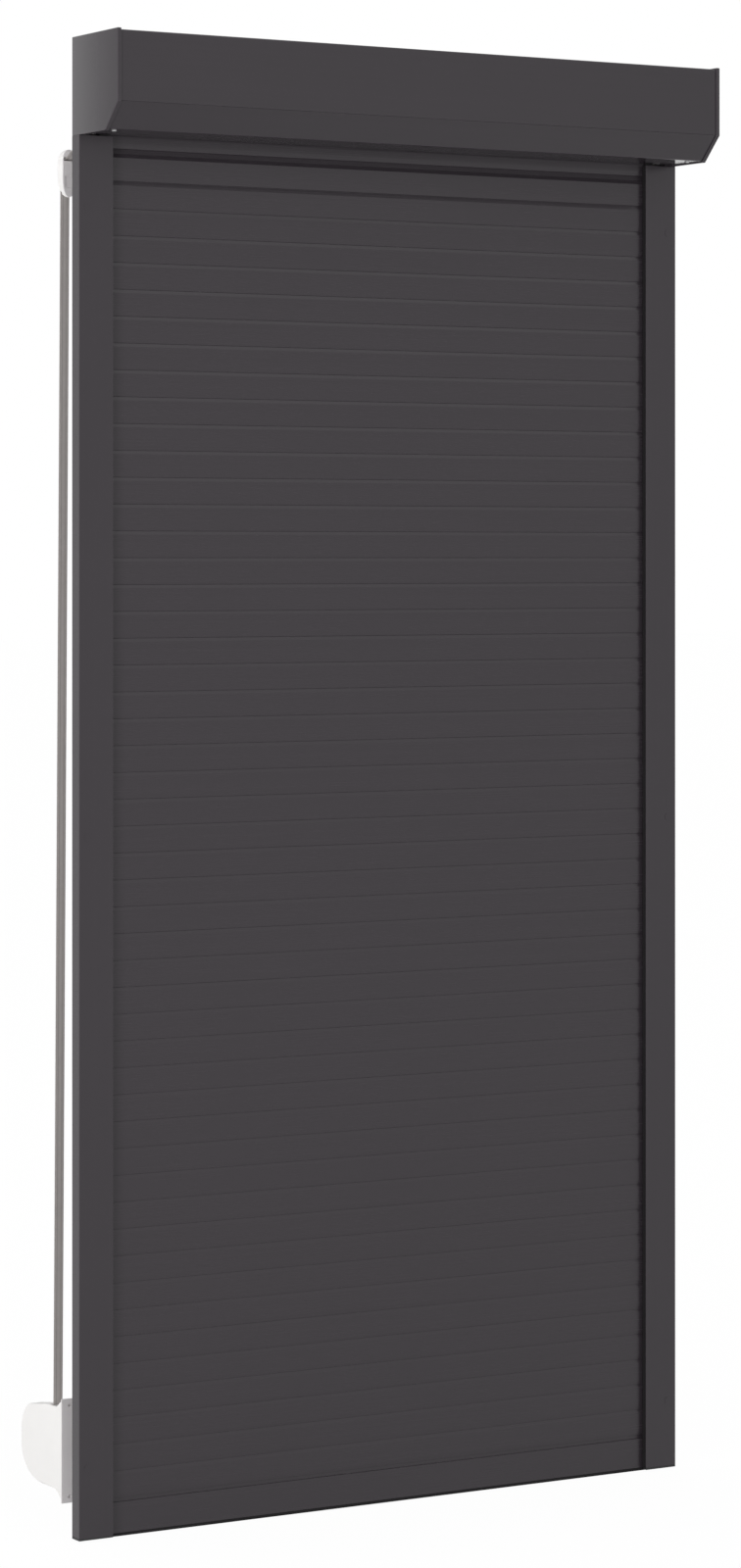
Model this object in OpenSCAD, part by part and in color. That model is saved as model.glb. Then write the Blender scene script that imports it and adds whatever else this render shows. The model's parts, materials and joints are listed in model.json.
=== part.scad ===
// Exterior roller shutter with box, guide rails, slat curtain and strap drive.
// Millimetres, Z up. X runs across the window, -Y is the outdoor side, Y = 0 is the rear mounting plane.
// The frame's origin is the centre of the rail fixing holes on the rear mounting plane.

/* [Overall] */
// Width over the rails and the box
shutter_w = 1000; // [800:10:1400]
// Length of the guide rails, which is the height below the box
rail_len = 1946; // [1500:2:2200]

/* [Box] */
// Height of the end caps
box_h = 137; // [130:1:165]
// Depth of the end caps
box_d = 137; // [130:1:165]
// Size of the 45 degree chamfer at the lower front edge
box_chamfer = 37; // [25:1:50]
// Sheet thickness of the box panels
panel_t = 1.5; // [1:0.1:2]
// Thickness of the end cap plates
cap_t = 6; // [4:0.5:8]
// Height of the end cap rim over the panels
cap_proud = 2; // [1:0.25:3]

/* [Rails] */
// Width of a rail seen from the front
rail_w = 53; // [50:1:66]
// Depth of a rail
rail_d = 22; // [22:0.5:27]
// Wall thickness of the rail section
rail_wall = 1.5; // [1.2:0.1:2]
// Width of the curtain groove
groove_w = 11.5; // [11:0.25:13]
// Radius of the fixing holes in the rear wall
fix_r = 2.75; // [2:0.25:3.5]
// Height of the lowest fixing holes above the sill, and of the highest below the box
fix_end = 100; // [90:5:160]

/* [Curtain] */
// Height that one slat covers
slat_pitch = 37.4; // [36:0.1:40]
// Thickness of a slat
slat_t = 6.5; // [6.25:0.25:7]
// Skin thickness of the hollow slats
skin_t = 0.4; // [0.3:0.05:0.6]
// Thickness of the folded hooks and pockets of the slats
fold_t = 0.7; // [0.6:0.05:0.9]
// Height of the bottom bar with its seal
bar_h = 52; // [45:1:60]
// How far the slats reach into each rail
slat_engage = 18; // [14:1:18]

/* [Shaft] */
// Octagonal roller shaft across its flats
shaft_af = 40; // [38:1:46]
// Radius of the strap pulley's flanges
pulley_r = 50; // [44:1:52]
// Outer radius of the bearing rings
bearing_r = 14; // [13:0.5:16]

/* [Strap drive] */
// Width of the strap
strap_w = 14; // [12:0.5:15]
// Thickness of the strap
strap_t = 1.1; // [0.9:0.1:1.3]
// Depth of the window frame between the rails and the indoor fittings
frame_depth = 60; // [50:1:80]
// Height of the strap guide
guide_h = 67; // [60:1:75]
// Radius of the strap guide's roller
guide_roller_r = 5.25; // [4.5:0.25:5.5]
// Height of the winder's fixing plate
winder_plate_h = 146; // [140:1:160]
// Spacing of the two holes in the winder's plate
winder_hole_gap = 128; // [122:1:134]
// Depth of the winder's housing from the indoor plane
winder_d = 130; // [126:1:136]
// Height of the winder's housing
winder_h = 116; // [114:1:122]

/* [Hidden] */
$fn = 48;
hx = shutter_w / 2;
zb = rail_len;
zt = zb + box_h;
fix_mid = rail_len / 2;
bevel = sqrt(2) - 1;
run = 0.35;

rail_xi = hx - rail_w;
groove_y0 = -rail_d + 7.75;
groove_y1 = groove_y0 + groove_w;
curtain_y = (groove_y0 + groove_y1) / 2;
groove_x = hx - 27;
chamber_x = hx - 25.5;
fix_x = hx - 13.5;
fix_zs = [fix_end, fix_mid, rail_len - fix_end];
slat_hx = rail_xi + slat_engage;
slat_n = round((zb + 13.5 - bar_h) / slat_pitch);
slat_f = curtain_y - slat_t / 2;
slat_b = curtain_y + slat_t / 2;

// Joint opening: the two topmost joints are drawn open by the shaft.
open_low = 1.2;
open_top = 7.4;
// Heights of a slat's hook, of the pocket that it slides in, of the sloping shoulder and of the sloping foot.
hook_h = 9.5;
pocket_h = hook_h + 1.9;
shoulder_h = 5.25;
foot_h = 7;
// The access panel's screws, from the inner face of the end caps
screw_in = 16;
lower_n = 3;
function slat_z(i) =
    bar_h + i * slat_pitch
    + (i >= slat_n - 2 ? open_low : 0)
    + (i >= slat_n - 1 ? open_top : 0);
top_z = slat_z(slat_n - 1) + slat_pitch;

shaft_y = -box_d / 2;
shaft_z = zb + box_h / 2;
shaft_cr = shaft_af / 2 / cos(22.5);

strap_x = -(hx - rail_w / 2);
pulley_in = strap_x - strap_w / 2 - 1;
pulley_out = strap_x + strap_w / 2 + 1;
flange_t = 1.5;
plane_y = frame_depth;

// Shaft ends: pins that turn in a ball bearing in each end cap.
pin_r = 6;
ring_t = 3;
ring_in = 8.6;
ring_l = 8;
holder_l = 10;
hub_r = 24;

// Strap route in the Y-Z plane: pulley, guide roller, winder spool.
guide_drop = 38;
spool_y = 64.5;
spool_z = 108;
full_turn = 360;
c1 = [shaft_y, shaft_z];
r1 = 33;
c2 = [plane_y + 7.6, zb - guide_drop + 1.5];
r2 = guide_roller_r + run + strap_t / 2;
c3 = [plane_y + spool_y, spool_z];
r3 = 28;
function unit(a) = [cos(a), sin(a)];
function heading(v) = atan2(v[1], v[0]);
n_ang = heading(c1 - c2) - acos((r1 + r2) / norm(c1 - c2));
m_ang = heading(c3 - c2) + acos((r2 + r3) / norm(c3 - c2));
arc_n = 8;
strap_in = concat(
    [c1 - (r1 - strap_t / 2) * unit(n_ang)],
    [for (k = [0:arc_n]) c2 + (r2 - strap_t / 2) * unit(n_ang + (m_ang - n_ang) * k / arc_n)],
    [c3 - (r3 + strap_t / 2) * unit(m_ang)]);
strap_out = concat(
    [c1 - (r1 + strap_t / 2) * unit(n_ang)],
    [for (k = [0:arc_n]) c2 + (r2 + strap_t / 2) * unit(n_ang + (m_ang - n_ang) * k / arc_n)],
    [c3 - (r3 - strap_t / 2) * unit(m_ang)]);
// On the pulley's side the strap lies below its centre line, so the two edges swap there.
strap_edge_a = concat([strap_out[0]], [for (k = [1:arc_n + 2]) strap_in[k]]);
strap_edge_b = concat([strap_in[0]], [for (k = [1:arc_n + 2]) strap_out[k]]);
function flip(v) = [for (k = [len(v) - 1:-1:0]) v[k]];
// Height of the strap's centre line at a depth between the pulley and the guide roller.
function feed_z(y) = let (a = c1 - r1 * unit(n_ang), b = c2 + r2 * unit(n_ang))
    a[1] + (b[1] - a[1]) * (y - a[0]) / (b[0] - a[0]);

winder_z0 = spool_z - winder_h / 2 + 1;
winder_z1 = winder_z0 + winder_h;
winder_y1 = plane_y + winder_d;
winder_mid = winder_z0 + winder_h / 2;
plate_t = 2.5;
boss_l = 6;
spool_r = 44.5;
core_r = 25.2;
brake_y = 13;
brake_z = 50;
guide_z1 = zb - guide_drop + 25;
guide_z0 = guide_z1 - guide_h;

// Every module is drawn with Z = 0 at the sill and then set on the fixing pattern's centre.
module seat() {
    translate([0, 0, -fix_mid]) children();
}

// Extrudes a Y-Z outline along X.
module across(x0, x1) {
    translate([x0, 0, 0]) rotate([90, 0, 90]) linear_extrude(height = x1 - x0) children();
}

module rod_x(x0, x1, y, z, r) {
    translate([x0, y, z]) rotate([0, 90, 0]) cylinder(h = x1 - x0, r = r);
}

module block(a, b) {
    translate(a) cube(b - a);
}

module both() {
    children();
    mirror([1, 0, 0]) children();
}

function box_outline(s, back) = [
    [-back, zb + s],
    [-back, zt - s],
    [-box_d + s, zt - s],
    [-box_d + s, zb + box_chamfer + s * bevel],
    [-box_d + box_chamfer + s * bevel, zb + s]
];

module end_cap_shape() {
    inner = cap_proud + panel_t + 0.2;
    back_in = panel_t + 0.2;
    lug_y = -box_d + box_chamfer + 16;
    difference() {
        union() {
            across(-hx, -hx + cap_t) polygon(box_outline(0, 0));
            difference() {
                across(-hx + cap_t - 1, -hx + cap_t + 13) polygon(box_outline(inner, back_in));
                across(-hx + cap_t - 2, -hx + cap_t + 14) polygon(box_outline(inner + 2, back_in + 2));
                block([-hx + cap_t, -46, zb - 1], [-hx + cap_t + 20, 1, zb + 34]);
            }
            block([-hx + 3, -rail_d + 3, zb - 60], [-hx + 16, -3, zb + 12]);
            block(
                [-hx + cap_t - 1, lug_y - 6, zb + inner],
                [-hx + cap_t + screw_in + 6, lug_y + 6, zb + inner + 8]
            );
        }
        translate([-hx + cap_t + screw_in, lug_y, zb]) cylinder(h = inner + 7, r = 1.6);
        rod_x(-hx + cap_t - 2, -hx + cap_t + 2, shaft_y, shaft_z, 8);
    }
}

module left_end_cap() {
    color("dimgray") seat() end_cap_shape();
}

module right_end_cap() {
    color("dimgray") seat() mirror([1, 0, 0]) end_cap_shape();
}

module box_rear_panel() {
    color("#454346") seat() difference() {
        block([-hx + cap_t, -panel_t, zb + 0.3], [hx - cap_t, 0, zt - cap_proud - panel_t - 0.1]);
        block(
            [strap_x - strap_w / 2 - 0.8, -panel_t - 1, zb - 1],
            [strap_x + strap_w / 2 + 0.8, 1, feed_z(-panel_t) + strap_t + 0.8]
        );
    }
}

module box_top_panel() {
    o = box_outline(cap_proud, 0);
    i = box_outline(cap_proud + panel_t, panel_t);
    color("#454346") seat() across(-hx + cap_t, hx - cap_t)
        polygon([o[1], o[2], o[3] + [0, 0.1], [i[3][0], o[3][1] + 0.1], i[2], [0, i[1][1]]]);
}

module box_access_panel() {
    o = box_outline(cap_proud, 0);
    i = box_outline(cap_proud + panel_t, panel_t);
    lip_y = groove_y0 - 4.75;
    lip_z = feed_z(lip_y - panel_t / 2) - strap_t - 1.8;
    lug_y = -box_d + box_chamfer + 16;
    color("#454346") seat() difference() {
        across(-hx + cap_t, hx - cap_t) polygon([
            o[3] - [0, 0.1],
            o[4],
            [lip_y, o[4][1]],
            [lip_y, lip_z],
            [lip_y - panel_t, lip_z],
            [lip_y - panel_t, i[4][1]],
            i[4],
            [i[3][0], o[3][1] - 0.1]
        ]);
        both() translate([-hx + cap_t + screw_in, lug_y, zb]) cylinder(h = 12, r = 1.9);
    }
}

module access_panel_screws() {
    lug_y = -box_d + box_chamfer + 16;
    color("silver") seat() both() translate([-hx + cap_t + screw_in, lug_y, zb + cap_proud - 1.6]) {
        cylinder(h = 1.5, r = 3.4);
        cylinder(h = 10, r = 1.5);
    }
}

module bearing_holders() {
    x0 = -hx + cap_t;
    color("#2b2b2d") seat() both() difference() {
        union() {
            rod_x(x0, x0 + holder_l, shaft_y, shaft_z, 1.5 * bearing_r);
            rod_x(x0, x0 + 3, shaft_y, shaft_z, 2 * bearing_r);
        }
        rod_x(x0 + 1.2, x0 + holder_l + 1, shaft_y, shaft_z, bearing_r + 0.05);
        rod_x(x0 - 1, x0 + 2, shaft_y, shaft_z, pin_r + 2);
    }
}

module bearing_outer_rings() {
    x0 = -hx + cap_t;
    color("silver") seat() both() difference() {
        rod_x(x0 + 1.3, x0 + 1.3 + ring_l, shaft_y, shaft_z, bearing_r);
        rod_x(x0 + 1, x0 + ring_l + 2, shaft_y, shaft_z, bearing_r - ring_t);
    }
}

module bearing_balls() {
    x0 = -hx + cap_t;
    ball_r = (bearing_r - ring_t - ring_in) / 2 - 0.05;
    color("silver") seat() both() for (k = [0:8]) {
        translate([x0 + 1.3 + ring_l / 2, shaft_y, shaft_z]) rotate([k * full_turn / 9, 0, 0])
            translate([0, (bearing_r - ring_t + ring_in) / 2, 0]) sphere(r = ball_r);
    }
}

module bearing_inner_rings() {
    x0 = -hx + cap_t;
    color("silver") seat() both() difference() {
        rod_x(x0 + 1.6, x0 + 1.3 + ring_l, shaft_y, shaft_z, ring_in);
        rod_x(x0 + 1, x0 + ring_l + 2, shaft_y, shaft_z, pin_r + 0.05);
    }
}

module octagon(af) {
    rotate(22.5) circle(r = af / 2 / cos(22.5), $fn = 8);
}

shaft_x0 = pulley_out + flange_t + 1;
shaft_x1 = hx - cap_t - holder_l - 22;

module roller_shaft() {
    color("silver") seat() difference() {
        translate([0, shaft_y, shaft_z]) across(shaft_x0, shaft_x1) difference() {
            octagon(shaft_af);
            octagon(shaft_af - 2.4);
        }
        translate([shaft_x0 + 25, shaft_y, shaft_z]) cylinder(h = shaft_af, r = 2.2);
        translate([shaft_x1 - 25, shaft_y, shaft_z]) cylinder(h = shaft_af, r = 2.2);
    }
}

module left_shaft_plug() {
    color("#3a3a3c") seat() difference() {
        union() {
            translate([0, shaft_y, shaft_z]) across(shaft_x0, shaft_x0 + 50) octagon(shaft_af - 2.6);
            rod_x(pulley_in - flange_t, shaft_x0 + 1, shaft_y, shaft_z, hub_r / 2);
        }
        rod_x(pulley_in - flange_t - 1, shaft_x0 + 35, shaft_y, shaft_z, pin_r + 0.05);
        translate([shaft_x0 + 25, shaft_y, shaft_z + 8]) cylinder(h = shaft_af, r = 1.8);
    }
}

module right_shaft_plug() {
    color("#3a3a3c") seat() difference() {
        union() {
            translate([0, shaft_y, shaft_z]) across(shaft_x1 - 60, shaft_x1) octagon(shaft_af - 2.6);
            rod_x(shaft_x1, shaft_x1 + 3, shaft_y, shaft_z, shaft_af / 2 + 4);
            rod_x(shaft_x1, hx - cap_t - holder_l - 1, shaft_y, shaft_z, pin_r + 4);
        }
        rod_x(shaft_x1 - 35, hx, shaft_y, shaft_z, pin_r + 0.05);
        translate([shaft_x1 - 25, shaft_y, shaft_z + 8]) cylinder(h = shaft_af, r = 1.8);
    }
}

module shaft_pins() {
    color("silver") seat() {
        rod_x(-hx + cap_t + 1.5, shaft_x0 + 34, shaft_y, shaft_z, pin_r);
        rod_x(shaft_x1 - 34, hx - cap_t - 1.5, shaft_y, shaft_z, pin_r);
    }
}

module shaft_screws() {
    flat_z = shaft_z + shaft_af / 2 + 0.1;
    color("silver") seat() for (x = [shaft_x0 + 25, shaft_x1 - 25]) translate([x, shaft_y, flat_z]) {
        cylinder(h = 2, r = 3.6);
        translate([0, 0, -10]) cylinder(h = 11, r = 1.7);
    }
}

module strap_pulley() {
    color("#3a3a3c") seat() difference() {
        union() {
            rod_x(pulley_in - flange_t, pulley_out + flange_t, shaft_y, shaft_z, hub_r);
            rod_x(pulley_in - flange_t, pulley_in, shaft_y, shaft_z, pulley_r);
            rod_x(pulley_out, pulley_out + flange_t, shaft_y, shaft_z, pulley_r);
        }
        rod_x(pulley_in - 5, pulley_out + 5, shaft_y, shaft_z, hub_r / 2 + 0.05);
    }
}

// A wound strap as one band: an outline that climbs by a fixed pitch for each turn.
function coil(r_in, turns, pitch, seg) = [
    for (k = [0:turns * seg]) (r_in + pitch * k / seg) * unit(full_turn * k / seg)
];

module wound(r_in, turns, pitch, thick, start, hand) {
    seg = 20;
    inner = coil(r_in, turns, pitch, seg);
    outer = coil(r_in + thick, turns, pitch, seg);
    rotate(start) mirror([0, hand, 0]) polygon(concat(inner, flip(outer)));
}

module pulley_strap() {
    color("#8b8780") seat() translate([0, shaft_y, shaft_z])
        across(strap_x - strap_w / 2, strap_x + strap_w / 2)
        wound(hub_r + 0.4, 5, strap_t + 0.23, strap_t - 0.1, n_ang + full_turn / 2, 0);
}

module band(a, b, thick) {
    d = (b - a) / norm(b - a);
    s = [-d[1], d[0]] * thick / 2;
    polygon([a + s, b + s, b - s, a - s]);
}

hanger_xs = [-0.6 * hx, -0.2 * hx, 0.2 * hx, 0.6 * hx];

module curtain_hangers() {
    neck = slat_f + 2.2;
    fold = slat_f + 1.3;
    lean = shaft_y + shaft_z + shaft_af / 2 * sqrt(2) + 1.3;
    head_z = top_z + hook_h;
    color("#b8b8b4") seat() for (x = hanger_xs) across(x - 25, x + 25) union() {
        band([fold, top_z + 1], [fold, max(lean - fold, head_z + 2)], 1.2);
        band([fold + 0.3, lean - fold - 0.3], [shaft_y + 8, lean - shaft_y - 8], 1.2);
        band([fold, head_z + 1], [neck + 5, head_z + 1], 1.2);
        band([neck + 4.4, head_z + 1.6], [neck + 4.4, head_z - 2.4], 1.2);
    }
}

// Hollow slat with a hook above and a pocket for the next hook below. Foot, shoulder and neck slope back.
module slat_outline() {
    f = slat_f;
    b = slat_b;
    p = slat_pitch;
    h = p + hook_h;
    w = fold_t;
    difference() {
        polygon([
            [f, foot_h], [f, p - shoulder_h], [f + 1.6, p - 0.1], [f + 2.2, p - 0.1], [f + 3.4, h],
            [f + 5.5, h], [f + 5.5, h - w], [f + 3.4 + w, h - w], [f + 2.2 + w, p - 1],
            [b, p - 3], [b, 0], [f + 4.25, 0], [f + 4.25, w], [b - w, w], [b - w, pocket_h],
            [f + w, pocket_h], [f + w, foot_h + 0.2], [f + 0.8 + w, 0], [f + 0.8, 0]
        ]);
        polygon([
            [f + skin_t, pocket_h + skin_t], [b - skin_t, pocket_h + skin_t], [b - skin_t, p - 3.4],
            [f + 3, p - 1.9], [f + skin_t, p - shoulder_h - 0.2]
        ]);
    }
}

module slats(from, to) {
    for (i = [from:to]) translate([0, 0, slat_z(i)]) across(-slat_hx, slat_hx) slat_outline();
}

module curtain_slats() {
    color("#454346") seat() slats(lower_n, slat_n - 1);
}

module lower_slats() {
    color("#454346") seat() slats(0, lower_n - 1);
}

module slat_end_clips() {
    color("#222224") seat() both() for (i = [lower_n + 1:2:slat_n - 3])
        block([slat_hx, slat_f + 0.6, slat_z(i) + 11], [slat_hx + 2, slat_b - 0.6, slat_z(i) + 29]);
}

module bottom_bar() {
    f = slat_f;
    b = slat_b;
    p = bar_h;
    color("#454346") seat() across(-slat_hx, slat_hx) difference() {
        polygon([
            [f, 2.5], [f, p - 6.4], [f + 0.6, p - 5.8], [f + 2.6, p - 5.8], [f + 2.6, p + hook_h],
            [f + 5.4, p + hook_h], [f + 5.4, p + hook_h - 1.2], [f + 3.8, p + hook_h - 1.2], [f + 3.8, p - 1],
            [b, p - 3], [b, 2.5]
        ]);
        polygon([[f + 1.5, 13], [b - 1.5, 13], [b - 1.5, p - 7.9], [f + 1.5, p - 7.9]]);
        polygon([
            [f + 2, 1.5], [b - 2, 1.5], [b - 2, 6], [b - 1, 6],
            [b - 1, 9], [f + 1, 9], [f + 1, 6], [f + 2, 6]
        ]);
    }
}

module bottom_bar_seal() {
    f = slat_f;
    b = slat_b;
    color("#1c1c1e") seat() across(-slat_hx, slat_hx) polygon([
        [f + 0.6, -2], [b - 0.6, -2], [b - 0.2, 2.4], [b - 2.1, 2.4], [b - 2.1, 6.1], [b - 1.1, 6.1],
        [b - 1.1, 8.9], [f + 1.1, 8.9], [f + 1.1, 6.1], [f + 2.1, 6.1], [f + 2.1, 2.4], [f + 0.2, 2.4]
    ]);
}

module bar_end_glides() {
    color("#222224") seat() both() {
        block([slat_hx, groove_y0 + 0.45, 6], [slat_hx + 3.5, groove_y1 - 0.45, bar_h - 8]);
        block([slat_hx - 16, slat_f + 1.6, 13.1], [slat_hx + 0.5, slat_b - 1.6, bar_h - 8.2]);
    }
}

module bar_stops() {
    color("#1c1c1e") seat() both()
        block([slat_hx, groove_y0 + 0.6, bar_h - 8], [slat_hx + 3.5, groove_y1 - 0.6, bar_h - 2]);
}

module rail_section() {
    w = rail_wall;
    difference() {
        translate([-hx, -rail_d]) square([rail_w, rail_d]);
        translate([-hx + w, -rail_d + w]) square([27 - 2 * w, rail_d - 2 * w]);
        translate([-groove_x, groove_y0]) square([rail_w, groove_w]);
        translate([-groove_x, -rail_d + w]) square([rail_w - 27 - 10, 7.75 - 2 * w]);
        translate([-rail_xi - 3, -rail_d + 1.6]) square([10, rail_d]);
    }
    translate([-rail_xi - 3, groove_y1 + 1.2]) square([3, -groove_y1 - 1.2]);
}

module rail_shape() {
    difference() {
        translate([0, 0, 3]) linear_extrude(height = rail_len - 3) rail_section();
        for (z = fix_zs) {
            translate([-fix_x, 1, z]) rotate([90, 0, 0]) cylinder(h = rail_wall + 2, r = fix_r);
            translate([-fix_x, -rail_d + rail_wall + 1, z]) rotate([90, 0, 0])
                cylinder(h = rail_wall + 2, r = 5);
        }
    }
}

module left_rail() {
    color("#454346") seat() rail_shape();
}

module right_rail() {
    color("#454346") seat() mirror([1, 0, 0]) rail_shape();
}

// Black sealing strips on the two lips of the curtain groove.
module rail_seal_shape() {
    translate([-rail_xi - 2.9, 0, 3.2]) linear_extrude(height = rail_len - 3.4) {
        translate([0, -rail_d + 1.7]) square([2.9, slat_f - 0.6 + rail_d - 1.7]);
        translate([0, slat_b + 0.6]) square([2.9, groove_y1 + 1.1 - slat_b - 0.6]);
    }
}

module left_rail_seals() {
    color("#151516") seat() rail_seal_shape();
}

module right_rail_seals() {
    color("#151516") seat() mirror([1, 0, 0]) rail_seal_shape();
}

// Flared inlet on top of a rail. Its tongues narrow the groove, and the bar's stops meet them.
module funnel_shape() {
    x0 = -groove_x + 0.5;
    x1 = -rail_xi - 3.2;
    step_x = -hx + 36;
    t = 1.3;
    difference() {
        union() {
            block([x0, groove_y0 + 0.05, zb - 30], [x1, groove_y0 + t, zb]);
            block([x0, groove_y1 - t, zb - 30], [x1, groove_y1 - 0.05, zb]);
            block([x0, groove_y0 + 0.05, zb - 30], [x0 + 1.2, groove_y1 - 0.05, zb]);
            across(step_x, x1) {
                polygon([
                    [groove_y0 + t, zb - 1], [groove_y0 + t, zb + 4], [groove_y0 - 6, zb + 26],
                    [groove_y0 - 7.4, zb + 26], [groove_y0 - 0.6, zb + 4], [groove_y0 - 0.6, zb + 0.1],
                    [groove_y0 + 0.05, zb + 0.1], [groove_y0 + 0.05, zb - 1]
                ]);
                polygon([
                    [groove_y1 - t, zb - 1], [groove_y1 - 0.05, zb - 1], [groove_y1 - 0.05, zb + 26],
                    [groove_y1 - 0.6, zb + 26], [groove_y1 - t, zb + 12]
                ]);
            }
        }
    }
}

module left_rail_funnel() {
    color("#222224") seat() funnel_shape();
}

module right_rail_funnel() {
    color("#222224") seat() mirror([1, 0, 0]) funnel_shape();
}

module rail_feet() {
    color("#2b2b2d") seat() both() difference() {
        union() {
            block([-hx, -rail_d, 0], [-rail_xi, 0, 3]);
            block(
                [-hx + rail_wall + 0.1, -rail_d + rail_wall + 0.1, 2],
                [-chamber_x - 0.1, -rail_wall - 0.1, 18]
            );
        }
        block([-groove_x, groove_y0, -1], [-rail_xi + 1, groove_y1, 4]);
        block([-hx + 4, -rail_d + 4, 4], [-chamber_x - 2.6, -4, 19]);
    }
}

module rail_hole_caps() {
    color("#454346") seat() both() for (z = fix_zs) translate([-fix_x, -rail_d, z]) rotate([-90, 0, 0]) {
        translate([0, 0, -0.4]) cylinder(h = 0.4, r = 5.8);
        translate([0, 0, -0.1]) cylinder(h = 4, r = 4.9);
    }
}

// The strap is drawn in two lengths that meet where it leaves the guide roller.
module strap_feed() {
    a = [for (k = [0:arc_n + 1]) strap_edge_a[k]];
    b = [for (k = [0:arc_n + 1]) strap_edge_b[k]];
    color("#8b8780") seat() across(strap_x - strap_w / 2, strap_x + strap_w / 2) polygon(concat(a, flip(b)));
}

module strap() {
    a = [for (k = [arc_n + 1:arc_n + 2]) strap_edge_a[k]];
    b = [for (k = [arc_n + 1:arc_n + 2]) strap_edge_b[k]];
    color("#8b8780") seat() across(strap_x - strap_w / 2, strap_x + strap_w / 2) polygon(concat(a, flip(b)));
}

// Outline of the strap guide seen from the front, with drawn-out round ends.
function guide_outline(s) = let (w = 10 - s, top = 14, low = 22) concat(
    [for (k = [0:10]) [w * cos(18 * k), guide_z1 - top + (top - s) * sin(18 * k)]],
    [for (k = [0:10]) [-w * cos(18 * k), guide_z0 + low - (low - s) * sin(18 * k)]]
);

module guide_slab(y0, y1, s) {
    translate([strap_x, y1, 0]) rotate([90, 0, 0]) linear_extrude(height = y1 - y0) polygon(guide_outline(s));
}

function guide_side(s) = [
    [plane_y - 1, guide_z0 - 1], [plane_y + 5 - s, guide_z0 - 1], [plane_y + 9.4 - s, guide_z0 + 3],
    [plane_y + 13.6 - s, guide_z0 + 10], [plane_y + 16.3 - s, guide_z0 + 0.3 * guide_h],
    [plane_y + 17 - s, guide_z0 + 0.45 * guide_h], [plane_y + 17 - s, guide_z1 - 0.3 * guide_h],
    [plane_y + 15.8 - s, guide_z1 - 11], [plane_y + 12 - s, guide_z1 - 4],
    [plane_y + 7 - s, guide_z1 + 1], [plane_y - 1, guide_z1 + 1]
];

module guide_base() {
    slot_z = c2[1] + 9.9;
    color("#a8a6a6") seat() difference() {
        guide_slab(plane_y, plane_y + 2, 0);
        block([strap_x - 8.2, plane_y - 1, slot_z - 2.4], [strap_x + 8.2, plane_y + 3, slot_z + 2.4]);
        block(
            [strap_x - 6, plane_y - 1, guide_z0 + 0.2 * guide_h],
            [strap_x + 6, plane_y + 1, guide_z0 + 0.45 * guide_h]
        );
    }
}

module guide_cover() {
    color("white") seat() difference() {
        intersection() {
            guide_slab(plane_y + 2, plane_y + 18, 0);
            across(strap_x - 11, strap_x + 11) polygon(guide_side(0));
        }
        intersection() {
            guide_slab(plane_y + 1, plane_y + 18, 1.4);
            across(strap_x - 11, strap_x + 11) polygon(guide_side(1.4));
        }
        block(
            [strap_x - 8, plane_y + 11, guide_z0 - 2],
            [strap_x + 8, plane_y + 18, guide_z0 + 0.34 * guide_h]
        );
        rod_x(strap_x - 9.4, strap_x + 9.4, c2[0], c2[1], 1.6);
    }
}

module guide_roller() {
    color("#d8d8d6") seat() difference() {
        rod_x(strap_x - 7.6, strap_x + 7.6, c2[0], c2[1], guide_roller_r);
        rod_x(strap_x - 9, strap_x + 9, c2[0], c2[1], 1.55);
    }
}

module guide_axle() {
    color("silver") seat() rod_x(strap_x - 9.2, strap_x + 9.2, c2[0], c2[1], 1.5);
}

// The plate's two holes run on through short bosses behind it.
module winder_plate() {
    z0 = winder_mid - winder_plate_h / 2;
    color("#b0aeac") seat() difference() {
        union() {
            block([strap_x - 12, plane_y, z0], [strap_x + 12, plane_y + plate_t, z0 + winder_plate_h]);
            plate_holes(plane_y + plate_t - 0.5, boss_l + 0.5, 4.2);
        }
        plate_holes(plane_y - 1, plate_t + boss_l + 2, 2.5);
    }
}

module plate_holes(y, l, r) {
    for (s = [-1, 1]) translate([strap_x, y + l, winder_mid + s * winder_hole_gap / 2])
        rotate([90, 0, 0]) cylinder(h = l, r = r);
}

// Side outline of the winder's housing, drawn in by s: a sloping top, a round back and a long curve below.
function winder_body(s) = let (
    y0 = plane_y + plate_t + 0.1, y1 = winder_y1, a = winder_z1, b = winder_z0
) concat(
    [[y0 + s, a + 1.5 - s], [y0 + 44, a + 1.5 - s]],
    [for (k = [2:12]) [y1 - 34 + (34 - s) * sin(7.5 * k), a - 47 + (41 - s) * cos(7.5 * k)]],
    [for (k = [0:16]) [y1 - 63 + (63 - s) * cos(5.625 * k), b + 49 - (47 - s) * sin(5.625 * k)]],
    [[y0 + s, b + 2 + s]]
);

// The side walls carry sloping ears towards the ends of the plate.
function winder_ears() = let (y0 = plane_y + plate_t + 0.1) [
    [y0, winder_z1 + 12], [y0 + 6, winder_z1 + 9], [y0 + 17, winder_z1 + 0.5], [y0 + 17, winder_z0 + 8],
    [y0 + 20, winder_z0 + 2.5], [y0 + 9, winder_z0 - 4], [y0 + 2, winder_z0 - 9.5], [y0, winder_z0 - 12]
];

// Places of the three screws that hold the two shells together, from the indoor plane and the spool's height.
winder_bosses = [[9, -32], [10, 38], [96, 44]];

module winder_half() {
    difference() {
        union() {
            across(-11, -9.2) polygon(winder_ears());
            difference() {
                across(-11, -0.05) polygon(winder_body(0));
                across(-9.3, 1) polygon(winder_body(2));
            }
            for (p = winder_bosses) rod_x(-9.4, -0.05, plane_y + p[0], c3[1] + p[1], 3.6);
        }
        block([-8.4, c3[0] - r3 - 4, winder_z1 - 6], [1, c3[0] - r3 + 5, winder_z1 + 3]);
        rod_x(-9.9, 1, c3[0], c3[1], 4.05);
        rod_x(-9.9, 1, c3[0] - brake_y, c3[1] + brake_z, 1.55);
        for (p = winder_bosses) rod_x(-7, 1, plane_y + p[0], c3[1] + p[1], 1.35);
    }
}

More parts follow.
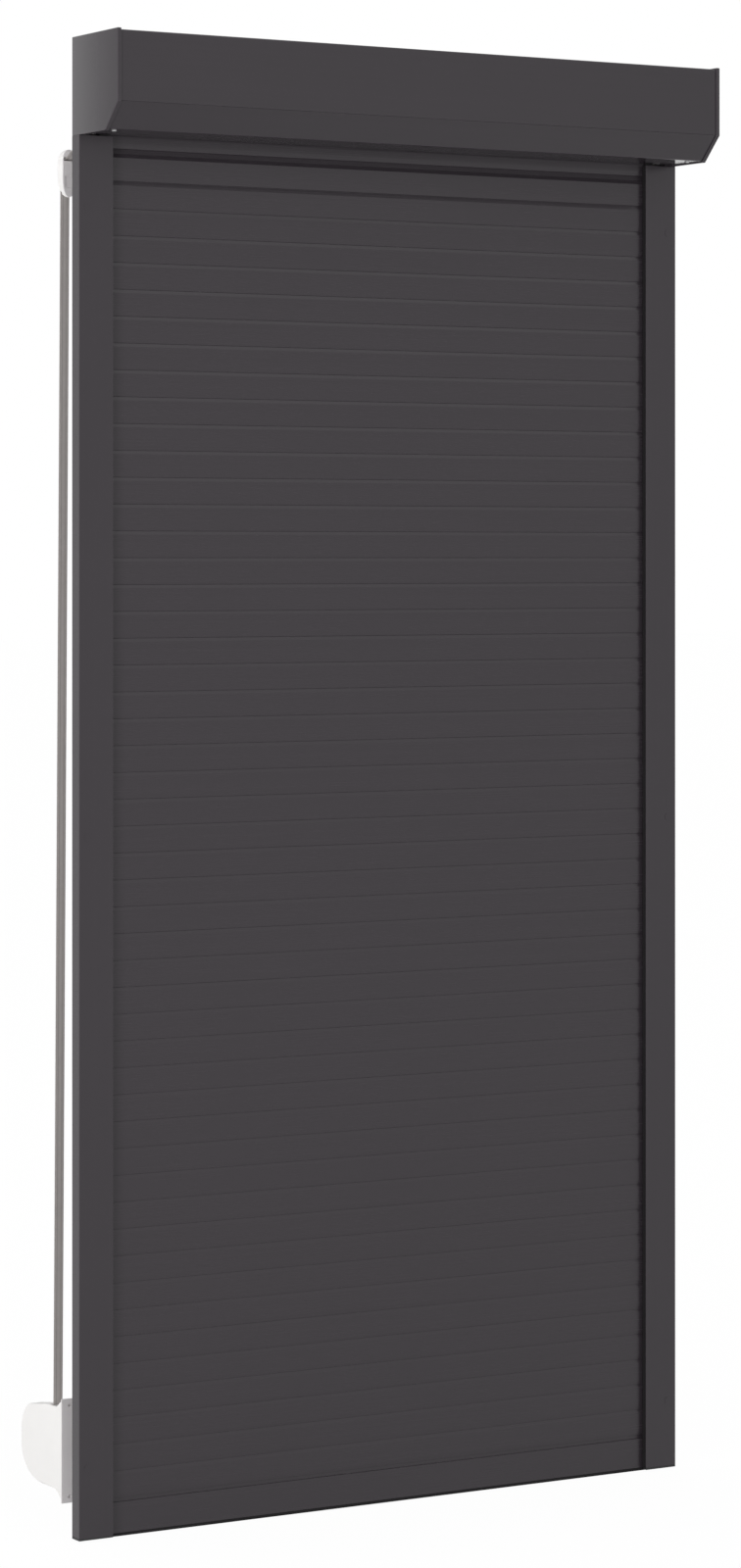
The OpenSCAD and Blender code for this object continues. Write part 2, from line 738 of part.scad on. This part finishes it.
module winder_left_shell() {
    color("white") seat() translate([strap_x, 0, 0]) winder_half();
}

module winder_right_shell() {
    color("white") seat() translate([strap_x, 0, 0]) difference() {
        mirror([1, 0, 0]) winder_half();
        for (p = winder_bosses) {
            rod_x(-1, 12, plane_y + p[0], c3[1] + p[1], 1.6);
            rod_x(9, 12, plane_y + p[0], c3[1] + p[1], 3);
        }
    }
}

module winder_screws() {
    color("silver") seat() translate([strap_x, 0, 0]) for (p = winder_bosses) {
        rod_x(-6.5, 9.5, plane_y + p[0], c3[1] + p[1], 1.3);
        rod_x(9.1, 10.6, plane_y + p[0], c3[1] + p[1], 2.8);
    }
}

module winder_spool() {
    w = strap_w / 2 + 0.7;
    color("#d8d8d6") seat() translate([strap_x, 0, 0]) difference() {
        union() {
            rod_x(-w - 1.1, w + 1.1, c3[0], c3[1], core_r);
            rod_x(-w - 1.1, -w, c3[0], c3[1], spool_r);
            rod_x(w, w + 1.1, c3[0], c3[1], spool_r);
        }
        rod_x(-w + 1.5, w + 2, c3[0], c3[1], core_r - 1.6);
        rod_x(-w - 2, w, c3[0], c3[1], 4.05);
    }
}

module spool_strap() {
    color("#8b8780") seat() translate([0, c3[0], c3[1]])
        across(strap_x - strap_w / 2, strap_x + strap_w / 2)
        wound(core_r + 0.4, 0.8, 0.6, strap_t - 0.2, m_ang + full_turn / 2, 1);
}

module spool_spindle() {
    color("silver") seat() rod_x(strap_x - 9.8, strap_x + 9.8, c3[0], c3[1], 4);
}

module spiral_spring() {
    color("#55585c") seat() translate([0, c3[0], c3[1]])
        across(strap_x - 4.5, strap_x + 7) wound(4.4, 7, 2.4, 0.7, 0, 0);
}

brake_c = [c3[0] - brake_y, c3[1] + brake_z];

module brake_flap() {
    tip = c3[0] - r3 + 0.75;
    color("#3a3a3c") seat() difference() {
        across(strap_x - 7, strap_x + 7) union() {
            translate(brake_c) circle(r = 3.4);
            polygon([
                [tip, brake_c[1] + 3], [tip, brake_c[1] - 2],
                [brake_c[0], brake_c[1] - 3.2], [brake_c[0], brake_c[1] + 3.2]
            ]);
        }
        rod_x(strap_x - 9, strap_x + 9, brake_c[0], brake_c[1], 1.55);
    }
}

module brake_pin() {
    color("silver") seat() rod_x(strap_x - 9.8, strap_x + 9.8, brake_c[0], brake_c[1], 1.5);
}

left_end_cap();
right_end_cap();
box_rear_panel();
box_top_panel();
box_access_panel();
access_panel_screws();
bearing_holders();
bearing_outer_rings();
bearing_balls();
bearing_inner_rings();
roller_shaft();
left_shaft_plug();
right_shaft_plug();
shaft_pins();
shaft_screws();
strap_pulley();
pulley_strap();
curtain_hangers();
curtain_slats();
slat_end_clips();
lower_slats();
bottom_bar();
bottom_bar_seal();
bar_end_glides();
bar_stops();
left_rail();
right_rail();
left_rail_seals();
right_rail_seals();
left_rail_funnel();
right_rail_funnel();
rail_feet();
rail_hole_caps();
strap_feed();
strap();
guide_base();
guide_cover();
guide_roller();
guide_axle();
winder_plate();
winder_left_shell();
winder_right_shell();
winder_spool();
spool_strap();
spool_spindle();
spiral_spring();
brake_flap();
brake_pin();
winder_screws();
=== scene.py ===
"""Dresses the exterior roller shutter: box, guide rails, slat curtain and strap drive."""

import json
import math

import bmesh
import bpy
from mathutils import Matrix, Vector

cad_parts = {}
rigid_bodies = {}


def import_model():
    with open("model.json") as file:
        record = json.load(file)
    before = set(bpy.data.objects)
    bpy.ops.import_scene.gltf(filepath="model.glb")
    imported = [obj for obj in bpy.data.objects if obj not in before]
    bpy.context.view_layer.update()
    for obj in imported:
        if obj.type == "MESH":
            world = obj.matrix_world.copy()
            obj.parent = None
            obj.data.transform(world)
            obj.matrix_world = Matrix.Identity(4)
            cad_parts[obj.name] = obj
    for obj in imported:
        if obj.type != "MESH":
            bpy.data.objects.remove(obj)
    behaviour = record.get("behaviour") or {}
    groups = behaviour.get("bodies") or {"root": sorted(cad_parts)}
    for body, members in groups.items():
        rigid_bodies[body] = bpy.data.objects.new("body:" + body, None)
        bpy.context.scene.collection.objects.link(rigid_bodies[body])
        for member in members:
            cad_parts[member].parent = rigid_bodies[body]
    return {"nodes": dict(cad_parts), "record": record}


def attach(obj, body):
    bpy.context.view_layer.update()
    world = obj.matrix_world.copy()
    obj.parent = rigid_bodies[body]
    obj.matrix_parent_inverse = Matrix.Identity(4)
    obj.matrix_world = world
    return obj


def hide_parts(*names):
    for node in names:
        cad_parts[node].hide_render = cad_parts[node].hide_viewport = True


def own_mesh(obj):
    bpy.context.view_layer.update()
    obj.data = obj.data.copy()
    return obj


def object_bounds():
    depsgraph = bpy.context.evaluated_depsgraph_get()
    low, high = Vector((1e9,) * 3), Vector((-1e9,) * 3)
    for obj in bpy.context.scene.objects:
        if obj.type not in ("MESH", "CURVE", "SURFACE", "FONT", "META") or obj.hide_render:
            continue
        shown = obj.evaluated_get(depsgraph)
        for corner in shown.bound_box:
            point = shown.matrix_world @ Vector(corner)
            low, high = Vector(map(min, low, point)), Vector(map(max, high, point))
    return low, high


for leftover in list(bpy.data.objects):
    bpy.data.objects.remove(leftover)

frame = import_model()
cad_low, cad_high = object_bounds()

MM = 0.001
SILL = -0.973  # height of the rails' lower ends in the frame
WELD = 2e-6  # points closer than this are one point
body_of = {node: body for body, nodes in frame["record"]["behaviour"]["bodies"].items() for node in nodes}
slot_of = {row["node"]: row["material_slot"] for row in frame["record"]["subparts"]}


def at(x, y, z):
    """A point in metres from millimetres, with z measured up from the sill."""
    return Vector((x * MM, y * MM, z * MM + SILL))


# The camera stands to the left in front of the shutter, level, with the picture shifted down.

camera = bpy.data.objects.new("camera", bpy.data.cameras.new("camera"))
camera.location = (-3.32048, -5.54546, 0.38986)
camera.rotation_euler = (math.radians(90), 0, math.radians(-30.78346))
camera.data.sensor_width = 36
camera.data.lens = 102.741
camera.data.shift_x = -0.000456
camera.data.shift_y = -0.145258
camera.data.clip_end = 300
bpy.context.collection.objects.link(camera)
bpy.context.scene.camera = camera


# Shader values


class Wire:
    """One value in a shader, which takes part in sums as a number does."""

    def __init__(self, tree, socket=None):
        self.tree = tree
        self.socket = socket

    def node(self, kind, settings=None, sockets=None, out=0):
        """Adds a node of that kind and gives back one of its outputs."""
        made = self.tree.nodes.new(kind)
        for name, value in (settings or {}).items():
            setattr(made, name, value)
        for name, value in (sockets or {}).items():
            if isinstance(value, Wire):
                self.tree.links.new(value.socket, made.inputs[name])
            else:
                made.inputs[name].default_value = value
        return Wire(self.tree, made.outputs[out]) if made.outputs else None

    def twin(self, out):
        """Another output of the node that this value comes from."""
        return Wire(self.tree, self.socket.node.outputs[out])

    def sum(self, operation, first, second=0.0):
        """A Math node on two values."""
        return self.node("ShaderNodeMath", {"operation": operation}, {0: first, 1: second})

    def __add__(self, other):
        return self.sum("ADD", self, other)

    def __sub__(self, other):
        return self.sum("SUBTRACT", self, other)

    def __rsub__(self, other):
        return self.sum("SUBTRACT", other, self)

    def __mul__(self, other):
        return self.sum("MULTIPLY", self, other)

    def __gt__(self, other):
        return self.sum("GREATER_THAN", self, other)

    def __lt__(self, other):
        return self.sum("LESS_THAN", self, other)

    def __abs__(self):
        return self.sum("ABSOLUTE", self)

    __radd__ = __add__
    __rmul__ = __mul__

    def wave(self):
        """A sine wave with one swing for each whole number."""
        return self.sum("SINE", self * (2 * math.pi))

    def blend(self, low, high):
        """A colour between two others, with this value as the share of the second."""
        return self.node("ShaderNodeMix", {"data_type": "RGBA"}, {0: self, 6: low, 7: high}, out=2)


def tint(colour, factor):
    """A colour made darker or lighter, as a full colour with its alpha."""
    return tuple(min(c * factor, 1.0) for c in colour[:3]) + (1.0,)


def start_finish(name):
    """A new material with an empty node tree, and the wire that its nodes grow from."""
    material = bpy.data.materials.new(name)
    material.use_nodes = True
    material.node_tree.nodes.clear()
    return material, Wire(material.node_tree)


def close_finish(wire, sockets):
    """Ends a material in a Principled shader with these sockets."""
    shader = wire.node("ShaderNodeBsdfPrincipled", None, sockets)
    wire.node("ShaderNodeOutputMaterial", None, {"Surface": shader})


def speckle(wire, place, scale, detail=2.0, rough=0.5):
    """Soft noise between 0 and 1."""
    return wire.node(
        "ShaderNodeTexNoise", None, {"Vector": place, "Scale": scale, "Detail": detail, "Roughness": rough}
    )


def bump(wire, height, strength, depth, under=None):
    """A normal from a height value, on top of another normal if there is one. The depth is in metres."""
    sockets = {"Height": height, "Strength": strength, "Distance": depth}
    if under:
        sockets["Normal"] = under
    return wire.node("ShaderNodeBump", None, sockets)


def object_place(wire):
    """The point on the piece, in its own coordinates."""
    return wire.node("ShaderNodeTexCoord", out="Object")


def stretched(wire, place, scale):
    """Coordinates drawn out along an axis, for lines, scratches and fibres."""
    return wire.node("ShaderNodeMapping", None, {"Vector": place, "Scale": scale})


def wear(wire):
    """1 on the rounded edges that hands and neighbours rub."""
    return wire.node("ShaderNodeAttribute", {"attribute_name": "worn"}, out="Fac")


CAP_MIDDLE = -0.0685  # depth of the end caps' middle


def coated(name, colour, flow, satin, crown=0.0):
    """Satin coat on aluminium: cloudy colour, drawing lines along the profile and fine orange peel.

    A crown shades the surface as a slightly domed sheet, for the end caps.
    """
    material, wire = start_finish(name)
    place, worn = object_place(wire), wear(wire)
    lines = speckle(wire, stretched(wire, place, flow), scale=1.0, detail=3.0, rough=0.6)
    cloud = speckle(wire, place, scale=5.0, detail=4.0)
    grain = speckle(wire, place, scale=900.0, rough=0.7)
    shade = lines * 0.45 + cloud * 0.35 + grain * 0.2
    coat = shade.blend(tint(colour, 0.9), tint(colour, 1.1))
    rubbed = worn * (0.25 + 0.5 * cloud)
    peel = bump(wire, grain * 0.6 + lines * 0.4, strength=0.12, depth=0.25 * MM)
    if crown:
        deep = wire.node("ShaderNodeSeparateXYZ", None, {"Vector": place}, out="Y") - CAP_MIDDLE
        peel = bump(wire, 0.0 - crown * deep * deep, strength=1.0, depth=1.0, under=peel)
    close_finish(
        wire,
        {
            "Base Color": rubbed.blend(coat, tint(colour, 1.9)),
            "Roughness": satin - 0.06 + 0.08 * lines + 0.06 * cloud - 0.08 * worn,
            "Specular IOR Level": 0.4,
            "Normal": peel,
        },
    )
    return material


def plated(name, colour, satin, spangle):
    """Bare or zinc-plated metal with crystals, fine scratches and dull patches."""
    material, wire = start_finish(name)
    place = object_place(wire)
    crystal = wire.node("ShaderNodeTexVoronoi", None, {"Vector": place, "Scale": spangle}, out="Color")
    level = wire.node("ShaderNodeSeparateColor", None, {"Color": crystal})
    scratch = speckle(wire, stretched(wire, place, (40.0, 900.0, 900.0)), scale=1.0)
    dull = speckle(wire, place, scale=30.0, detail=4.0)
    shade = level * 0.5 + scratch * 0.2 + dull * 0.3
    close_finish(
        wire,
        {
            "Base Color": shade.blend(tint(colour, 0.78), tint(colour, 1.15)),
            "Metallic": 1.0,
            "Roughness": satin + 0.12 * dull + 0.1 * level,
            "Normal": bump(wire, scratch, strength=0.08, depth=0.1 * MM),
        },
    )
    return material


def moulded(name, colour, satin, fineness, specular=0.45):
    """Moulded plastic with an eroded grain, faint flow clouds and handled edges."""
    material, wire = start_finish(name)
    place, worn = object_place(wire), wear(wire)
    grain = speckle(wire, place, scale=fineness, rough=0.6)
    flow = speckle(wire, place, scale=22.0, detail=3.0)
    shade = flow * 0.7 + grain * 0.3
    close_finish(
        wire,
        {
            "Base Color": shade.blend(tint(colour, 0.95), tint(colour, 1.04)),
            "Roughness": satin + 0.1 * flow + 0.06 * grain - 0.1 * worn,
            "Specular IOR Level": specular,
            "Normal": bump(wire, grain, strength=0.15, depth=0.15 * MM),
        },
    )
    return material


def pile(name, colour):
    """Black sealing pile and rubber: short fibres, no gloss."""
    material, wire = start_finish(name)
    place = object_place(wire)
    fibre = speckle(wire, stretched(wire, place, (300.0, 300.0, 1600.0)), scale=1.0, rough=0.7)
    dust = speckle(wire, place, scale=45.0, detail=3.0)
    close_finish(
        wire,
        {
            "Base Color": (fibre * 0.6 + dust * 0.4).blend(tint(colour, 0.6), tint(colour, 1.5)),
            "Roughness": 0.82 + 0.14 * fibre,
            "Specular IOR Level": 0.2,
            "Normal": bump(wire, fibre, strength=0.5, depth=0.4 * MM),
        },
    )
    return material


WARP_RIBS = 11.0  # ribs across the strap
WEFT_PICKS = 620.0  # picks in each metre of strap
SELVEDGE = 0.43  # places across the strap, from its middle, as shares of its width
STRIPE_INNER, STRIPE_OUTER = 0.17, 0.26


def woven(name, warp, stripe):
    """Strap webbing: warp ribs along its length, weft picks across, darker selvedges and two stripes."""
    material, wire = start_finish(name)
    weave = wire.node("ShaderNodeUVMap", {"uv_map": "weave"})
    across = wire.node("ShaderNodeSeparateXYZ", None, {"Vector": weave}, out="X")
    along = across.twin("Y")
    rib = across * WARP_RIBS
    pick = along * WEFT_PICKS + (rib * 0.5).wave() * 0.25
    thread = rib.wave() * 0.5 + 0.5
    weft = pick.wave() * 0.5 + 0.5
    cloth = thread * 0.6 + weft * 0.4
    off_centre = abs(across - 0.5)
    selvedge = off_centre > SELVEDGE
    band = (off_centre > STRIPE_INNER) * (off_centre < STRIPE_OUTER)
    dirt = speckle(wire, object_place(wire), scale=60.0, detail=4.0)
    ground = cloth.blend(tint(warp, 0.72), tint(warp, 1.15))
    lined = (selvedge * 0.55 + band * 0.75).blend(ground, stripe)
    close_finish(
        wire,
        {
            "Base Color": (dirt * 0.35).blend(lined, tint(warp, 0.6)),
            "Roughness": 0.72 + 0.16 * weft,
            "Specular IOR Level": 0.3,
            "Normal": bump(wire, cloth, strength=0.6, depth=0.3 * MM),
        },
    )
    return material


ANTHRACITE = (0.033, 0.0275, 0.033, 1.0)
finish = {
    "slat": coated("slat_coat", ANTHRACITE, flow=(0.7, 240.0, 240.0), satin=0.26),
    "box": coated("box_coat", ANTHRACITE, flow=(0.5, 150.0, 150.0), satin=0.15),
    "rail": coated("rail_coat", ANTHRACITE, flow=(260.0, 260.0, 0.6), satin=0.22),
    "cap": coated("cap_coat", tint(ANTHRACITE, 1.04), flow=(70.0, 70.0, 70.0), satin=0.2, crown=0.85),
    "steel": plated("zinc_steel", (0.62, 0.62, 0.63), satin=0.24, spangle=600.0),
    "galvanised_steel": plated("galvanised_sheet", (0.55, 0.56, 0.57), satin=0.34, spangle=160.0),
    "spring_steel": plated("spring_band", (0.17, 0.18, 0.2), satin=0.26, spangle=900.0),
    "black_plastic": moulded("black_moulding", (0.019, 0.019, 0.02), satin=0.46, fineness=1300.0),
    "anthracite_plastic": moulded("anthracite_moulding", ANTHRACITE, 0.16, 1500.0, specular=0.4),
    "black_rubber": pile("seal_pile", (0.016, 0.015, 0.016)),
    "white_plastic": moulded("white_moulding", (0.9, 0.888, 0.875), satin=0.34, fineness=1100.0),
    "grey_plastic": moulded("grey_moulding", (0.78, 0.755, 0.76), satin=0.48, fineness=1200.0),
    "strap_webbing": woven("strap_weave", warp=(0.56, 0.523, 0.508), stripe=(0.33, 0.307, 0.295, 1.0)),
}
finish["coated_aluminium"] = finish["box"]
finish["cap_aluminium"] = finish["cap"]

# What stays as the CAD made it gets the finish of its slot.

for node, part in frame["nodes"].items():
    for holder in part.material_slots:
        holder.material = finish[slot_of[node]]


# Pieces

FLAT = 0.02  # faces that meet at a smaller angle are one flat face
SHARP = math.radians(38)  # edges with a larger angle are rounded
ROOM = 2.3  # widths of a rounding that the faces beside it must hold


def piece(name, bm, look, node, smooth=35):
    """Makes a finished mesh the stand-in of a CAD node, on the node's body and in the given finish."""
    limit = math.radians(smooth)
    bmesh.ops.dissolve_degenerate(bm, dist=WELD, edges=bm.edges)
    for face in bm.faces:
        face.smooth = True
    for edge in bm.edges:
        edge.smooth = edge.is_manifold and edge.calc_face_angle() < limit
    mesh = bpy.data.meshes.new(name)
    bm.to_mesh(mesh)
    bm.free()
    mesh.materials.append(look)
    made = bpy.data.objects.new(name, mesh)
    bpy.context.collection.objects.link(made)
    made.modifiers.new("even_shading", "WEIGHTED_NORMAL").keep_sharp = True
    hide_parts(node)
    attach(made, body_of[node])
    return made


def closed_copy(node):
    """The CAD node as one closed mesh, with its flat faces joined."""
    bm = bmesh.new()
    bm.from_mesh(frame["nodes"][node].data)
    bmesh.ops.remove_doubles(bm, verts=bm.verts, dist=WELD)
    bmesh.ops.dissolve_limit(bm, angle_limit=FLAT, verts=bm.verts, edges=bm.edges)
    return bm


def roomy(edge, width):
    """True where both faces beside an edge leave room for a rounding of that width."""
    length = edge.calc_length()
    return length > 2 * width and min(f.calc_area() for f in edge.link_faces) / length > ROOM * width


def rounded(bm, rounds):
    """Rounds sharp edges, widest rounding first, and marks the new faces as the ones that wear.

    A rounding is a width in millimetres and a number of steps.
    """
    worn = bm.faces.layers.float.new("worn")
    for width, steps in rounds:
        sharp = [e for e in bm.edges if e.is_manifold and e.calc_face_angle() > SHARP]
        made = bmesh.ops.bevel(
            bm,
            geom=[e for e in sharp if roomy(e, width * MM)],
            offset=width * MM,
            offset_type="OFFSET",
            segments=steps,
            profile=0.5,
            affect="EDGES",
            clamp_overlap=False,
            material=-1,
        )
        for face in made["faces"]:
            face[worn] = 1.0
    return bm


def dressed(node, look, *rounds, smooth=35):
    """A CAD node with its edges rounded, in one of the finishes."""
    return piece(f"{node}_dressed", rounded(closed_copy(node), rounds), finish[look], node, smooth)


SHEET_FOLD, SHEET_EDGE = (1.6, 4), (0.3, 2)
MOULDED_EDGE, FINE_EDGE = (0.5, 2), (0.4, 2)

for side in ("left", "right"):
    dressed(f"{side}_end_cap", "cap", (0.9, 3), (0.35, 2))
    dressed(f"{side}_rail", "rail", (0.55, 3))
    dressed(f"{side}_rail_seals", "black_rubber", MOULDED_EDGE)
    dressed(f"{side}_rail_funnel", "black_plastic", (0.3, 2))
dressed("box_top_panel", "box", SHEET_FOLD, SHEET_EDGE)
dressed("box_access_panel", "box", SHEET_FOLD, SHEET_EDGE)
dressed("box_rear_panel", "box", SHEET_EDGE)
dressed("bottom_bar", "slat", (0.5, 3), (0.25, 2))
dressed("bottom_bar_seal", "black_rubber", MOULDED_EDGE)
dressed("bar_end_glides", "black_plastic", (0.6, 2))
dressed("bar_stops", "black_plastic", MOULDED_EDGE)
dressed("rail_feet", "black_plastic", MOULDED_EDGE)
dressed("winder_plate", "grey_plastic", FINE_EDGE)
dressed("winder_left_shell", "white_plastic", (2.2, 4), (0.6, 2))
dressed("winder_right_shell", "white_plastic", (2.2, 4), (0.6, 2))
dressed("guide_base", "grey_plastic", FINE_EDGE)
dressed("guide_cover", "white_plastic", MOULDED_EDGE)

# Screws, with lengths as shares of the head's radius

RECESS_REACH = 0.6
RECESS_DEPTH = 0.35
HEAD_ROUND = 0.2
HEAD_LEVEL = 0.2 * MM  # ends that lie lower than this under the highest one aren't heads


def cross_headed(node, toward):
    """Screws with a rounded head and a cross recess, which faces a direction."""
    toward = Vector(toward)
    bm = closed_copy(node)
    ends = [f for f in bm.faces if len(f.verts) > 8 and f.normal.dot(toward) > 0.99]
    top = max(f.calc_center_median().dot(toward) for f in ends)
    turn = Vector((0, 0, 1)).rotation_difference(toward).to_matrix().to_4x4()
    for head in [f for f in ends if f.calc_center_median().dot(toward) > top - HEAD_LEVEL]:
        centre, rim = head.calc_center_median(), list(head.edges)
        radius = (rim[0].verts[0].co - centre).length
        reach = RECESS_REACH * radius
        lie = Matrix.Translation(centre) @ turn
        bmesh.ops.delete(bm, geom=[head], context="FACES_ONLY")
        grid = bmesh.ops.create_grid(bm, x_segments=3, y_segments=3, size=reach, matrix=lie)["verts"]
        cells = dict.fromkeys(f for v in grid for f in v.link_faces)
        border = dict.fromkeys(e for f in cells for e in f.edges if e.is_boundary)
        bmesh.ops.bridge_loops(bm, edges=[*rim, *border])
        # The middle cell and the four beside it are the cross.
        cross = [f for f in cells if (f.calc_center_median() - centre).length < 0.8 * reach]
        sunk = bmesh.ops.extrude_face_region(bm, geom=cross)["geom"]
        bmesh.ops.delete(bm, geom=cross, context="FACES")
        bottom = [g for g in sunk if isinstance(g, bmesh.types.BMVert)]
        bmesh.ops.translate(bm, verts=bottom, vec=toward * (-RECESS_DEPTH * radius))
        bmesh.ops.bevel(
            bm, geom=rim, offset=HEAD_ROUND * radius, segments=3, profile=0.5, affect="EDGES", material=-1
        )
    bmesh.ops.recalc_face_normals(bm, faces=bm.faces)
    return piece(f"{node}_dressed", bm, finish["steel"], node)


cross_headed("access_panel_screws", (0, 0, -1))
cross_headed("shaft_screws", (0, 0, 1))
cross_headed("winder_screws", (1, 0, 0))

# The curtain's slats, end clips and hangers get meshes of their own; the lowest three slats are dressed as
# one piece.

GATHER = at(0, 0, 164.2)
SLAT_ROUNDS = ((0.6, 3), (0.22, 2))
SLAT_SMOOTH = 12  # degrees, so that each bend of the profile stays crisp
for node, look, rounds in (
    ("curtain_slats", "slat", SLAT_ROUNDS),
    ("slat_end_clips", "black_plastic", (MOULDED_EDGE,)),
    ("curtain_hangers", "galvanised_steel", ((0.25, 2),)),
):
    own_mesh(dressed(node, look, *rounds, smooth=SLAT_SMOOTH))
dressed("lower_slats", "slat", *SLAT_ROUNDS, smooth=SLAT_SMOOTH)

# The strap runs from the pulley over the guide roller to the winder's spool. Its route is drawn in depth and
# height above the sill, in millimetres.

STRAP_X = -473.5
STRAP_W = 14.0
STRAP_T = 1.1
PULLEY, PULLEY_R = Vector((-68.5, 2014.5)), 33.0
ROLLER, ROLLER_R = Vector((67.6, 1909.5)), 6.15
SPOOL, SPOOL_R = Vector((124.5, 108.0)), 28.0
TURN_STEPS = 36  # points on each turn of a coil
BEND_STEPS = 12  # steps of the bend over the roller


def heading(v):
    """The angle of a step, from the way indoors towards the way up."""
    return math.atan2(v.y, v.x)


def ray(angle, length=1.0):
    """A step at an angle."""
    return Vector((math.cos(angle), math.sin(angle))) * length


enter = heading(PULLEY - ROLLER) - math.acos((PULLEY_R + ROLLER_R) / (PULLEY - ROLLER).length)
leave = heading(SPOOL - ROLLER) + math.acos((ROLLER_R + SPOOL_R) / (SPOOL - ROLLER).length)


def coil(centre, radius, climb, start, turns, hand):
    """The route of a wound strap, which climbs by a fixed step for each turn."""
    passed = [k / TURN_STEPS for k in range(int(TURN_STEPS * turns) + 1)]
    return [centre + ray(start + hand * 2 * math.pi * turn, radius + climb * turn) for turn in passed]


def webbing(node, route, thick):
    """Strap webbing with beaded selvedges, laid along a route, with its weave unrolled on a UV map."""
    half, t = STRAP_W / 2, thick / 2
    edge, bead, cloth = (-half, 0.45 * t), (-half + 0.4, t), (-half + 1.5, 0.86 * t)
    section = [edge, bead, cloth]
    section += [(-x, n) for x, n in reversed(section)]
    section += [(x, -n) for x, n in reversed(section)]
    bm = bmesh.new()
    offset = bm.verts.layers.float_vector.new("offset")
    reach = bm.verts.layers.float.new("reach")
    ring = []
    for x, n in section:
        vert = bm.verts.new()
        vert[offset] = (x, n, 0)
        ring.append(vert)
    edges = [bm.edges.new(pair) for pair in zip(ring, ring[1:] + ring[:1])]
    first, run = edges, 0.0
    for k, point in enumerate(route):
        before, after = route[max(k - 1, 0)], route[min(k + 1, len(route) - 1)]
        if k:
            run += (point - before).length * MM
            grown = bmesh.ops.extrude_edge_only(bm, edges=edges)["geom"]
            ring = [g for g in grown if isinstance(g, bmesh.types.BMVert)]
            tip = set(ring)
            edges = [g for g in grown if isinstance(g, bmesh.types.BMEdge) and tip.issuperset(g.verts)]
        lie = (after - before).normalized()
        for vert in ring:
            x, n, _ = vert[offset]
            vert[reach] = run
            vert.co = at(STRAP_X + x, point.x - lie.y * n, point.y + lie.x * n)
    bmesh.ops.holes_fill(bm, edges=[*first, *edges], sides=len(section))
    bmesh.ops.recalc_face_normals(bm, faces=bm.faces)
    weave = bm.loops.layers.uv.new("weave")
    for face in bm.faces:
        for loop in face.loops:
            loop[weave].uv = (loop.vert[offset][0] / STRAP_W + 0.5, loop.vert[reach])
    return piece(f"{node}_woven", bm, finish["strap_webbing"], node, smooth=50)


bend = [ROLLER + ray(enter + (leave - enter) * k / BEND_STEPS, ROLLER_R) for k in range(BEND_STEPS + 1)]
on_pulley = coil(PULLEY, radius=24.9, climb=1.33, start=enter + math.pi, turns=5, hand=1)
on_spool = coil(SPOOL, radius=26.05, climb=0.6, start=leave + math.pi, turns=0.8, hand=-1)
webbing("strap_feed", [PULLEY - ray(enter, PULLEY_R)] + bend, STRAP_T)
webbing("strap", [bend[-1], SPOOL - ray(leave, SPOOL_R)], STRAP_T)
webbing("pulley_strap", on_pulley, 1.0)
webbing("spool_strap", on_spool, 0.9)

# Light and floor

ROOM_FILL = 0.62  # strength of the white room where only its light counts
FLOOR_PALE = (0.95, 0.95, 0.95, 1)
FLOOR_GLOW = 1.022  # white that the shown floor needs to meet the background
FLOOR_SHOWN = 0.94  # share of that glow; the rest takes the object's shadow
WHITE = (1, 1, 1, 1)


def lamp(name, place, target, size, power, glossy=False):
    """A soft rectangular light that looks at a point."""
    data = bpy.data.lights.new(name, "AREA")
    data.shape = "RECTANGLE"
    data.size, data.size_y = size
    data.energy = power
    made = bpy.data.objects.new(name, data)
    made.location = place
    made.rotation_euler = (Vector(target) - Vector(place)).to_track_quat("-Z", "Y").to_euler()
    made.visible_camera = False
    made.visible_glossy = glossy
    bpy.context.collection.objects.link(made)


lamp("left_softbox", (-5.2, -3.1, 0.1), target=(-0.4, 0, 0.0), size=(2.0, 3.0), power=175)
lamp("high_softbox", (2.56, -4.3, 4.2), target=(0, 0, 0.4), size=(4.4, 1.7), power=9, glossy=True)

world = bpy.data.worlds.new("studio")
bpy.context.scene.world = world
world.use_nodes = True
world.node_tree.nodes.clear()
sky = Wire(world.node_tree)


def seen(wire, mirrored):
    """1 for rays that show the surroundings, directly or through glass, and a share for those in a gloss."""
    direct = wire.node("ShaderNodeLightPath", out="Is Camera Ray")
    glossy = direct.twin("Is Glossy Ray") * mirrored
    clear = direct.twin("Is Transmission Ray")
    return wire.sum("MAXIMUM", wire.sum("MAXIMUM", direct, glossy), clear)


strength = ROOM_FILL + (1 - ROOM_FILL) * seen(sky, 1.0)
air = sky.node("ShaderNodeBackground", None, {"Color": WHITE, "Strength": strength})
sky.node("ShaderNodeOutputWorld", None, {"Surface": air})

floor_look, ground = start_finish("studio_floor")
matt = ground.node("ShaderNodeBsdfDiffuse", None, {"Color": FLOOR_PALE})
glow = ground.node("ShaderNodeEmission", None, {"Color": WHITE, "Strength": FLOOR_GLOW})
# Seen in a gloss, the floor's glow is a painted sheen, strongest at a low angle, as on a white board.
painted_floor_sheen = 0.12 + 0.98 * ground.node("ShaderNodeLayerWeight", None, {"Blend": 0.5}, out="Facing")
shown = ground.node("ShaderNodeMixShader", None, {0: FLOOR_SHOWN * seen(ground, painted_floor_sheen), 1: matt, 2: glow})
ground.node("ShaderNodeOutputMaterial", None, {"Surface": shown})

sweep = bmesh.new()
bmesh.ops.create_grid(sweep, x_segments=8, y_segments=8, size=60)
bmesh.ops.translate(sweep, verts=sweep.verts, vec=(0, 0, cad_low[2]))
floor_mesh = bpy.data.meshes.new("floor")
sweep.to_mesh(floor_mesh)
sweep.free()
floor_mesh.materials.append(floor_look)
floor = bpy.data.objects.new("floor", floor_mesh)
bpy.context.collection.objects.link(floor)

bpy.context.scene.view_settings.view_transform = "Standard"
